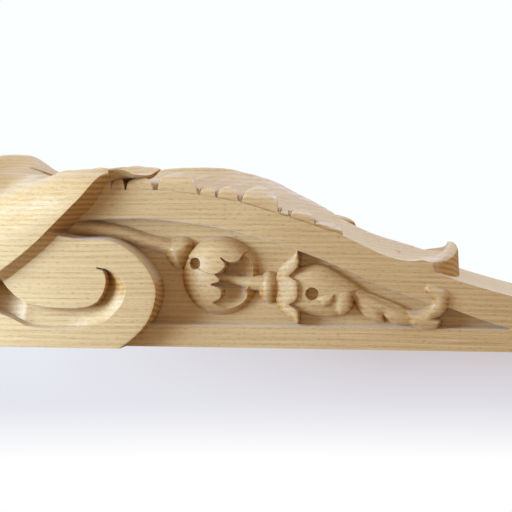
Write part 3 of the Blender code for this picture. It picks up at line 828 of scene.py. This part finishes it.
def leaflet_mesh():
    """One leaflet, 1 long, 1 high and 1 across: a wall at the rail, and a lobe that falls inward."""
    ends = 0.5 - 0.5 * np.cos(np.linspace(0, math.pi, 37))
    inward_steps = np.concatenate([[0, 0.02, 0.045, 0.08], np.linspace(0.12, 1, 25)])
    along, inward = np.meshgrid(ends, inward_steps, indexing="ij")
    bluntness = 14 - 10.5 * ease(inward / 0.34)
    arch = np.maximum(1 - np.abs(2 * along - 1) ** bluntness, 0) ** 0.5
    arch = arch * (0.8 + 0.2 * ease(along * 1.25))
    climb = 1 - (1 - np.minimum(inward / CREST_AT, 1)) ** 2.6
    fall = 0.55 * ease((inward - CREST_AT) / (1 - CREST_AT))
    bevel = 0.16 * (1 - ease(inward / 0.06)) * WALL_SHARE
    height = arch * (WALL_SHARE + (1 - WALL_SHARE) * climb - fall - bevel)
    place = (along - 0.5) * (1 - 0.5 * inward**1.5) - 0.42 * inward
    top = np.stack([inward, -height, -place], axis=-1)
    floor = np.stack([inward, 0 * height + 0.7, -place], axis=-1)
    return field_solid("leaflet_pattern", top, floor)


def leaflet_tree(pattern):
    """Sets one leaflet on each point, at the size and turn that the point carries."""
    tree = bpy.data.node_groups.new("Leaflets Along The Edge", "GeometryNodeTree")
    face = tree.interface
    face.new_socket("Geometry", in_out="INPUT", socket_type="NodeSocketGeometry")
    for name, start in (("Swell", 1.0), ("Splay", 0.0)):
        socket = face.new_socket(name, in_out="INPUT", socket_type="NodeSocketFloat")
        socket.default_value = start
    face.new_socket("Oak", in_out="INPUT", socket_type="NodeSocketMaterial")
    face.new_socket("Geometry", in_out="OUTPUT", socket_type="NodeSocketGeometry")
    start = add_node(tree, "NodeGroupInput")
    leaf = add_node(tree, "GeometryNodeObjectInfo", {"Object": pattern})
    size, turn = (
        add_node(tree, "GeometryNodeInputNamedAttribute", {"data_type": "FLOAT_VECTOR", "Name": name})
        for name in ("leaflet_size", "leaflet_turn")
    )
    swell = add_node(tree, "ShaderNodeVectorMath", {"operation": "SCALE"},
                     {0: size.outputs[0], "Scale": start.outputs["Swell"]})
    splay = add_node(tree, "ShaderNodeCombineXYZ", {}, {"Y": start.outputs["Splay"]})
    turned = add_node(tree, "ShaderNodeVectorMath", {"operation": "ADD"},
                      {0: turn.outputs[0], 1: splay.outputs[0]})
    set_out = add_node(
        tree, "GeometryNodeInstanceOnPoints", {},
        {"Points": start.outputs["Geometry"], "Instance": leaf.outputs["Geometry"],
         "Rotation": turned.outputs[0], "Scale": swell.outputs[0]},
    )
    real = add_node(tree, "GeometryNodeRealizeInstances", {}, {"Geometry": set_out.outputs["Instances"]})
    oak = add_node(tree, "GeometryNodeSetMaterial", {},
                   {"Geometry": real.outputs[0], "Material": start.outputs["Oak"]})
    add_node(tree, "NodeGroupOutput", {}, {0: oak.outputs["Geometry"]})
    return tree


def leaflet_points(sizes, rows):
    """A point for each leaflet, on the rail's face, with its size and its turn."""
    face = sizes.body_width / 2 / MM
    spots, scales, turns = [], [], []
    for start, stop, crest, reach in rows:
        middle = (start + stop) / 2
        root, before, after = follow(FRONT_EDGE, np.array([middle, middle - 5, middle + 5]))
        slope = math.atan2((before - after) * OUT_SCALE, 10 * DROP_SCALE)
        spots.append(on_block(face - SET_BACK, root, middle))
        scales.append((reach * MM, crest * MM, (stop - start) * MM / math.cos(slope)))
        turns.append((slope, 0.0, 0.0))
    return np.array(spots), np.array(scales), np.array(turns)


def leaflets(sizes, oak, rows, pattern):
    """The leaflets of one edge as one plain mesh object."""
    spots, scales, turns = leaflet_points(sizes, rows)
    mesh = bpy.data.meshes.new("leaflet_points")
    mesh.from_pydata(spots.tolist(), [], [])
    for name, values in (("leaflet_size", scales), ("leaflet_turn", turns)):
        carried = mesh.attributes.new(name, "FLOAT_VECTOR", "POINT")
        carried.data.foreach_set("vector", values.ravel())
    row = link("leaflets", mesh)
    along = row.modifiers.new("Leaflets", "NODES")
    along.node_group = leaflet_tree(pattern)
    sockets = along.node_group.interface.items_tree
    names = {item.name: item.identifier for item in sockets if item.in_out == "INPUT"}
    along[names["Swell"]] = 1.0
    along[names["Oak"]] = oak
    work_in(row)
    return row


# Joining, easing and mirroring


def add_solid(block, solid):
    """Makes one skin of the block and a solid that grows from it."""
    both = block.modifiers.new("Grow", "BOOLEAN")
    both.operation = "UNION"
    both.solver = "MANIFOLD"
    both.object = solid
    work_in(block)
    discard(solid)
    if not block.data.polygons:
        raise RuntimeError("a solid did not join the block")


def trim(shape, spot, normal, fill):
    """Cuts a mesh flat at a plane, and closes the cut where it says."""
    geometry = list(shape.verts) + list(shape.edges) + list(shape.faces)
    cut = bmesh.ops.bisect_plane(
        shape, geom=geometry, plane_co=spot, plane_no=normal, clear_outer=True, dist=1e-7
    )
    if fill:
        edges = [item for item in cut["geom_cut"] if isinstance(item, bmesh.types.BMEdge)]
        bmesh.ops.holes_fill(shape, edges=edges, sides=0)


def heal(shape):
    """Takes off flat slivers on the middle plane, and closes the specks that joining leaves."""
    bmesh.ops.dissolve_degenerate(shape, dist=SPECK, edges=shape.edges)
    flat = [face for face in shape.faces if all(abs(vert.co.x) < SPECK for vert in face.verts)]
    bmesh.ops.delete(shape, geom=flat, context="FACES")
    for _round in range(3):
        torn = [
            edge for edge in shape.edges
            if len(edge.link_faces) != 2 and any(abs(vert.co.x) > SPECK for vert in edge.verts)
        ]
        ends = list({vert for edge in torn for vert in edge.verts})
        bmesh.ops.remove_doubles(shape, verts=ends, dist=PINHOLE)
    loose = [vert for vert in shape.verts if not vert.link_faces]
    bmesh.ops.delete(shape, geom=loose, context="VERTS")


def finish_half(half, sizes):
    """Thins the half's mesh, trims it flat, and mirrors it about the middle plane."""
    thin = half.modifiers.new("Thin", "DECIMATE")
    triangles = sum(len(face.vertices) - 2 for face in half.data.polygons)
    thin.ratio = min(1.0, sizes.triangles / triangles)
    work_in(half)
    shape = bmesh.new()
    shape.from_mesh(half.data)
    trim(shape, (0, 0, 0), (0, 1, 0), True)
    trim(shape, (0, 0, TOP), (0, 0, 1), True)
    trim(shape, (0, 0, TOP - HEIGHT), (0, 0, -1), True)
    trim(shape, (0, 0, 0), (1, 0, 0), False)
    bmesh.ops.triangulate(shape, faces=[face for face in shape.faces if len(face.verts) > 3])
    heal(shape)
    for vert in shape.verts:
        if abs(vert.co.x) < SPECK:
            vert.co.x = 0
    other = bmesh.ops.duplicate(shape, geom=list(shape.verts) + list(shape.edges) + list(shape.faces))
    verts = [item for item in other["geom"] if isinstance(item, bmesh.types.BMVert)]
    faces = [item for item in other["geom"] if isinstance(item, bmesh.types.BMFace)]
    for vert in verts:
        vert.co.x = -vert.co.x
    bmesh.ops.reverse_faces(shape, faces=faces)
    bmesh.ops.remove_doubles(shape, verts=[v for v in shape.verts if v.co.x == 0], dist=SPECK / 4)
    for vert in shape.verts:
        vert.co = [min(max(value, low), high) for value, low, high in zip(vert.co, BOX_LOW, BOX_HIGH)]
    shape.to_mesh(half.data)
    shape.free()
    half.data.shade_smooth()
    half.data.set_sharp_from_angle(angle=math.radians(34))
    level = half.modifiers.new("Level flats", "WEIGHTED_NORMAL")
    level.weight = 80
    level.keep_sharp = True
    work_in(half)


# Materials


def reckon(tree, operation, *terms):
    """A sum worked out by one node, on sockets and plain numbers."""
    numbers = {i: term for i, term in enumerate(terms) if not isinstance(term, bpy.types.NodeSocket)}
    sockets = {i: term for i, term in enumerate(terms) if isinstance(term, bpy.types.NodeSocket)}
    return add_node(tree, "ShaderNodeMath", {"operation": operation, **numbers}, sockets).outputs[0]


def drawn_noise(tree, spot, scale, detail, roughness=0.5):
    """Noise with its own scale along each axis."""
    stretch = add_node(tree, "ShaderNodeMapping", {"Scale": scale}, {"Vector": spot})
    return add_node(tree, "ShaderNodeTexNoise", {"Scale": 1.0, "Detail": detail, "Roughness": roughness},
                    {"Vector": stretch.outputs[0]})


def linear(hex_colour):
    """Turns an sRGB hex colour into the linear one that shaders take."""
    parts = [int(hex_colour[i : i + 2], 16) / 255 for i in (0, 2, 4)]
    return (*[c / 12.92 if c <= 0.04045 else ((c + 0.055) / 1.055) ** 2.4 for c in parts], 1.0)


def ramp(tree, factor, stops):
    """A colour ramp through (place, colour) stops."""
    node = add_node(tree, "ShaderNodeValToRGB", {}, {"Fac": factor})
    while len(node.color_ramp.elements) < len(stops):
        node.color_ramp.elements.new(0.5)
    for element, (place, colour) in zip(node.color_ramp.elements, stops):
        element.position = place
        element.color = colour
    return node.outputs["Color"]


def oak_material(finish):
    """Carved European oak, sandpapered and left bare: fine straight streaks, short dark pore lines along
    the grain, browner, speckled wood wherever the gouge has cut across it, painted shade in the same
    brown on undercuts, and painted light that keeps front-facing cuts paler."""
    material = bpy.data.materials.new("oak_hand_carved_sanded_bare")
    material.use_nodes = True
    tree = material.node_tree
    tree.nodes.clear()
    place = add_node(tree, "ShaderNodeTexCoord")
    black, white = (0, 0, 0, 1), (1, 1, 1, 1)
    # Year rings, about a heart that lies well behind the block
    spot = place.outputs["Object"]
    warp = drawn_noise(tree, spot, (14, 14, 2.2), 2.0)
    bend = add_node(tree, "ShaderNodeVectorMath", {"operation": "MULTIPLY_ADD", 1: (0.012, 0.012, 0.0)},
                    {0: warp.outputs["Color"], 2: spot})
    heart = add_node(tree, "ShaderNodeMapping", {"Location": (0.09, -0.24, 0.0), "Scale": (1.0, 1.0, 0.02)},
                     {"Vector": bend.outputs[0]})
    rings = add_node(tree, "ShaderNodeTexWave",
                     {"wave_type": "RINGS", "rings_direction": "Z", "Scale": math.pi / 10 / finish.ring_width,
                      "Distortion": 0.6, "Detail": 1.0}, {"Vector": heart.outputs[0]})
    # Fine streaks, drawn out along the grain
    streak_scale = (1 / finish.streak_width, 1 / finish.streak_width, 1 / finish.streak_length)
    streaks = drawn_noise(tree, bend.outputs[0], streak_scale, 3.0, 0.65)
    figure = reckon(tree, "MULTIPLY_ADD", rings.outputs["Fac"], 0.14, streaks.outputs["Fac"])
    woods = (linear(finish.pale), linear(finish.middle), linear(finish.tan))
    base = ramp(tree, figure, list(zip((0.32, 0.57, 0.84), woods)))
    # Broad change of tone through the block
    tone = add_node(tree, "ShaderNodeTexNoise", {"Scale": 9.0, "Detail": 1.0}, {"Vector": spot})
    shade = ramp(tree, tone.outputs["Fac"], [(0.35, (0.92, 0.89, 0.84, 1)), (0.65, white)])
    tone_mix = add_node(tree, "ShaderNodeMix", {"data_type": "RGBA", "blend_type": "MULTIPLY", 0: 1.0},
                        {6: base, 7: shade})
    # Pore lines: short dark dashes along the grain
    fine = (1 / finish.pore_width, 1 / finish.pore_width, 1 / finish.pore_length)
    pores = drawn_noise(tree, spot, fine, 1.0)
    pore_mask = ramp(tree, pores.outputs["Fac"], [(0.55, black), (0.72, (0.75, 0.75, 0.75, 1))])
    thick = ramp(tree, rings.outputs["Fac"], [(0.1, (0.35, 0.35, 0.35, 1)), (0.8, white)])
    dashes = reckon(tree, "MULTIPLY", pore_mask, thick)
    pore_mix = add_node(tree, "ShaderNodeMix", {"data_type": "RGBA", 7: linear(finish.pore)},
                        {0: dashes, 6: tone_mix.outputs[2]})
    # End grain: browner wherever the cut runs across the grain; the same brown is also painted as shade on
    # undercuts, below
    apart = add_node(tree, "ShaderNodeSeparateXYZ", {}, {"Vector": place.outputs["Normal"]})
    lengthwise = reckon(tree, "ABSOLUTE", apart.outputs["Z"])
    # Painted shade: slanted undercuts that turn back towards the wall are painted nearly as brown as end
    # grain, as if in shadow; n (1 - n) peaks where n is a half
    undercut_shade = reckon(tree, "MULTIPLY", apart.outputs["Y"], reckon(tree, "SUBTRACT", 1.0, apart.outputs["Y"]))
    grain_or_undercut_shade = reckon(tree, "MAXIMUM", lengthwise, reckon(tree, "MULTIPLY", undercut_shade, 1.4))
    # Painted light: cuts that face the front, where the light falls, are kept nearly as pale as the rest
    painted_front_light = add_node(tree, "ShaderNodeMapRange",
                      {"From Min": -0.40, "From Max": -0.06, "To Min": 0.3, "To Max": 1.0},
                      {"Value": apart.outputs["Y"]})
    # Real end grain plus painted undercut shade, lessened on front faces by painted light
    across = reckon(tree, "MULTIPLY", grain_or_undercut_shade, painted_front_light.outputs[0])
    speckled_grain_and_shade = reckon(tree, "MULTIPLY_ADD", pores.outputs["Fac"], 0.35, across)
    endgrain_shade_mask = ramp(tree, speckled_grain_and_shade, [(0.42, black), (0.85, white)])
    # Its year rings show as browner rows of open pores
    rows = reckon(tree, "MULTIPLY_ADD", rings.outputs["Fac"], 0.35, streaks.outputs["Fac"])
    light_row, dark_row = (
        (*[share * part for part in linear(finish.endgrain_and_shade)[:3]], 1) for share in (1.22, 0.72)
    )
    endgrain_shade_colour = ramp(tree, rows, [(0.50, light_row), (0.88, dark_row)])
    # Painted shade and light: the end-grain brown goes on end grain and on undercuts in shade, and less of it
    # on front faces where light falls
    endgrain_shade_mix = add_node(tree, "ShaderNodeMix", {"data_type": "RGBA"},
                       {0: endgrain_shade_mask, 6: pore_mix.outputs[2], 7: endgrain_shade_colour})
    # Cut across the grain, and on the painted-shade undercuts, the wood is rougher, and has no pale nap or
    # gloss
    rough = reckon(tree, "MULTIPLY_ADD", endgrain_shade_mask, 0.9 - finish.roughness, finish.roughness)
    nap = reckon(tree, "MULTIPLY_ADD", endgrain_shade_mask, -finish.sheen, finish.sheen)
    gloss = reckon(tree, "MULTIPLY_ADD", endgrain_shade_mask, -0.42, 0.5)
    # Open pores and the gouge leave a faint tooth
    bump = add_node(tree, "ShaderNodeBump", {"Strength": 0.3, "Distance": 0.0003, "invert": True},
                    {"Height": dashes})
    shader = add_node(tree, "ShaderNodeBsdfPrincipled", {"IOR": 1.5, "Metallic": 0.0, "Sheen Roughness": 0.4},
                      {"Base Color": endgrain_shade_mix.outputs[2], "Roughness": rough, "Sheen Weight": nap,
                       "Specular IOR Level": gloss, "Normal": bump.outputs[0]})
    add_node(tree, "ShaderNodeOutputMaterial", {}, {"Surface": shader.outputs[0]})
    return material


def floor_material(look):
    """A matt painted board: plain, pale and without gloss."""
    material = bpy.data.materials.new("studio_board_matt")
    material.use_nodes = True
    shader = material.node_tree.nodes["Principled BSDF"]
    shader.inputs["Base Color"].default_value = linear(look.floor)
    shader.inputs["Roughness"].default_value = 0.9
    return material


# Operators


class CORBEL_OT_carve(bpy.types.Operator):
    """Carve the corbel and give it its oak"""

    bl_idname = "corbel.carve"
    bl_label = "Carve Corbel"

    def execute(self, context):
        sizes = context.scene.corbel_sizes
        oak = oak_material(context.scene.corbel_finish)
        whole = rough_half(sizes)
        add_solid(whole, leaf_tip_solid())
        pattern = leaflet_mesh()
        for first in range(3):
            add_solid(whole, leaflets(sizes, oak, LEAFLETS[first::3], pattern))
        discard(pattern)
        whole.name = "carved_oak_corbel"
        finish_half(whole, sizes)
        whole.data.materials.clear()
        whole.data.materials.append(oak)
        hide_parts(NODE)
        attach(whole, "root")
        return {"FINISHED"}


class CORBEL_OT_stage(bpy.types.Operator):
    """Set the floor, the light and the camera round the corbel"""

    bl_idname = "corbel.stage"
    bl_label = "Set Stage"

    def execute(self, context):
        look = context.scene.corbel_stage
        lay_floor(look)
        light_air(context.scene, look)
        window = (look.window_spot, look.window_size, look.window_power, look.window_colour)
        hang_light("window_softbox", *window)
        hang_light("sky_softbox", look.sky_spot, look.sky_size, look.sky_power, look.sky_colour)
        aim_camera(context.scene, look)
        return {"FINISHED"}


def lay_floor(look):
    mesh = bpy.data.meshes.new("studio_floor")
    shape = bmesh.new()
    bmesh.ops.create_grid(shape, x_segments=1, y_segments=1, size=FLOOR_REACH)
    for vert in shape.verts:
        vert.co.z = FLOOR_LEVEL
    shape.to_mesh(mesh)
    shape.free()
    floor = link("studio_floor", mesh)
    mesh.materials.append(floor_material(look))


def light_air(scene, look):
    """Soft pale air: a white backdrop behind, and a warmer, dimmer room on the camera's side."""
    world = bpy.data.worlds.new("studio_air")
    scene.world = world
    world.use_nodes = True
    tree = world.node_tree
    tree.nodes.clear()
    place = add_node(tree, "ShaderNodeTexCoord")
    way = place.outputs["Generated"]
    apart = add_node(tree, "ShaderNodeSeparateXYZ", {}, {"Vector": way})
    lean = add_node(tree, "ShaderNodeVectorMath", {"operation": "DOT_PRODUCT", 1: look.air_lean}, {0: way})
    level = reckon(tree, "ADD", lean.outputs["Value"], look.air_level)
    room = add_node(tree, "ShaderNodeBackground", {"Color": linear(look.room)}, {"Strength": level})
    # Painted shadow: below the corbel the backdrop takes a pale table's grey, darkest just under the corbel
    # as its shadow and more so towards the tail, and lighter further down
    table_shadows = ((0.115, look.table_shadow_left, look.shadow_fade_left), (0.118, look.table_shadow_right, look.shadow_fade_right))
    left, right = (
        ramp(tree, apart.outputs["Y"], [
            (0.085, linear(look.air)), (place, linear(table)), (0.150, linear(edge)), (0.180, (1, 1, 1, 1)),
        ])
        for place, table, edge in table_shadows
    )
    side = add_node(tree, "ShaderNodeMapRange", {"From Min": 0.26, "From Max": 0.06},
                    {"Value": apart.outputs["Z"]})
    table = add_node(tree, "ShaderNodeMix", {"data_type": "RGBA"}, {0: side.outputs[0], 6: left, 7: right})
    backdrop = add_node(tree, "ShaderNodeBackground", {"Strength": 1.0}, {"Color": table.outputs[2]})
    behind = add_node(tree, "ShaderNodeMapRange", {"From Min": 0.70, "From Max": 0.94},
                      {"Value": apart.outputs["X"]})
    both = add_node(tree, "ShaderNodeMixShader", {},
                    {0: behind.outputs[0], 1: room.outputs[0], 2: backdrop.outputs[0]})
    add_node(tree, "ShaderNodeOutputWorld", {}, {"Surface": both.outputs[0]})


def hang_light(name, spot, size, power, colour):
    """A square softbox aimed at the middle of the corbel."""
    data = bpy.data.lights.new(name, "AREA")
    data.size = size
    data.energy = power
    data.color = linear(colour)[:3]
    lamp = bpy.data.objects.new(name, data)
    bpy.context.scene.collection.objects.link(lamp)
    lamp.location = spot
    lamp.rotation_euler = (Vector((0, -DEPTH / 2, 0)) - Vector(spot)).to_track_quat("-Z", "Y").to_euler()


# The camera, found from the photograph's lines: where lines across the corbel run together
ACROSS_MEETS = (489.0, 148.0)
PHOTO_CENTRE = 256.0
FOCAL_PIXELS = 1697.0
EYE = (0.33593, 0.13629, 1.14097)
PHOTO_LEFT_DROP = 62.0


def aim_camera(scene, look):
    """The camera at the photograph's angle: beside the left face, turned so that the tail points right."""
    data = bpy.data.cameras.new("photo_camera")
    data.lens = look.lens
    data.sensor_width = 36.0
    data.clip_end = 20.0
    camera = bpy.data.objects.new("photo_camera", data)
    scene.collection.objects.link(camera)
    meets = (ACROSS_MEETS[0] - PHOTO_CENTRE, PHOTO_CENTRE - ACROSS_MEETS[1])
    side_on = Vector((*meets, FOCAL_PIXELS)).normalized()
    yaw = math.asin(side_on.x)
    pitch = math.acos(side_on.z / math.cos(yaw))
    along = Vector((0, 0, -1))
    out = Vector((0, -1, 0))
    across = Vector((1, 0, 0))
    right = along * math.cos(yaw) + across * math.sin(yaw)
    level = across * (math.cos(yaw) * math.cos(pitch)) + along * (-math.sin(yaw) * math.cos(pitch))
    ahead = level + out * -math.sin(pitch)
    up = right.cross(ahead)
    face = scene.corbel_sizes.body_width / 2
    eye = across * (-EYE[2] - face) + out * EYE[1] + along * (EYE[0] + PHOTO_LEFT_DROP * MM - TOP)
    turn = Matrix((right, up, -ahead)).transposed().to_4x4()
    camera.matrix_world = Matrix.Translation(eye) @ turn
    scene.camera = camera


class CORBEL_PT_sidebar(bpy.types.Panel):
    """Lists the corbel's operators, sizes and colours."""

    bl_label = "Carved Corbel"
    bl_idname = "CORBEL_PT_sidebar"
    bl_space_type = "VIEW_3D"
    bl_region_type = "UI"
    bl_category = "Corbel"

    def draw(self, context):
        column = self.layout.column()
        for operator in (CORBEL_OT_carve, CORBEL_OT_stage):
            column.operator(operator.bl_idname)
        for group in (context.scene.corbel_sizes, context.scene.corbel_finish, context.scene.corbel_stage):
            for name in group.__annotations__:
                column.prop(group, name)


CLASSES = (CorbelSizes, CorbelFinish, StageLook, CORBEL_OT_carve, CORBEL_OT_stage, CORBEL_PT_sidebar)


def register():
    for item in CLASSES:
        bpy.utils.register_class(item)
    bpy.types.Scene.corbel_sizes = bpy.props.PointerProperty(type=CorbelSizes)
    bpy.types.Scene.corbel_finish = bpy.props.PointerProperty(type=CorbelFinish)
    bpy.types.Scene.corbel_stage = bpy.props.PointerProperty(type=StageLook)


def unregister():
    del bpy.types.Scene.corbel_sizes
    del bpy.types.Scene.corbel_finish
    del bpy.types.Scene.corbel_stage
    for item in reversed(CLASSES):
        bpy.utils.unregister_class(item)


def main():
    register()
    bpy.ops.corbel.carve()
    bpy.ops.corbel.stage()
    bpy.context.scene.view_settings.view_transform = "Standard"


if __name__ == "__main__":
    main()
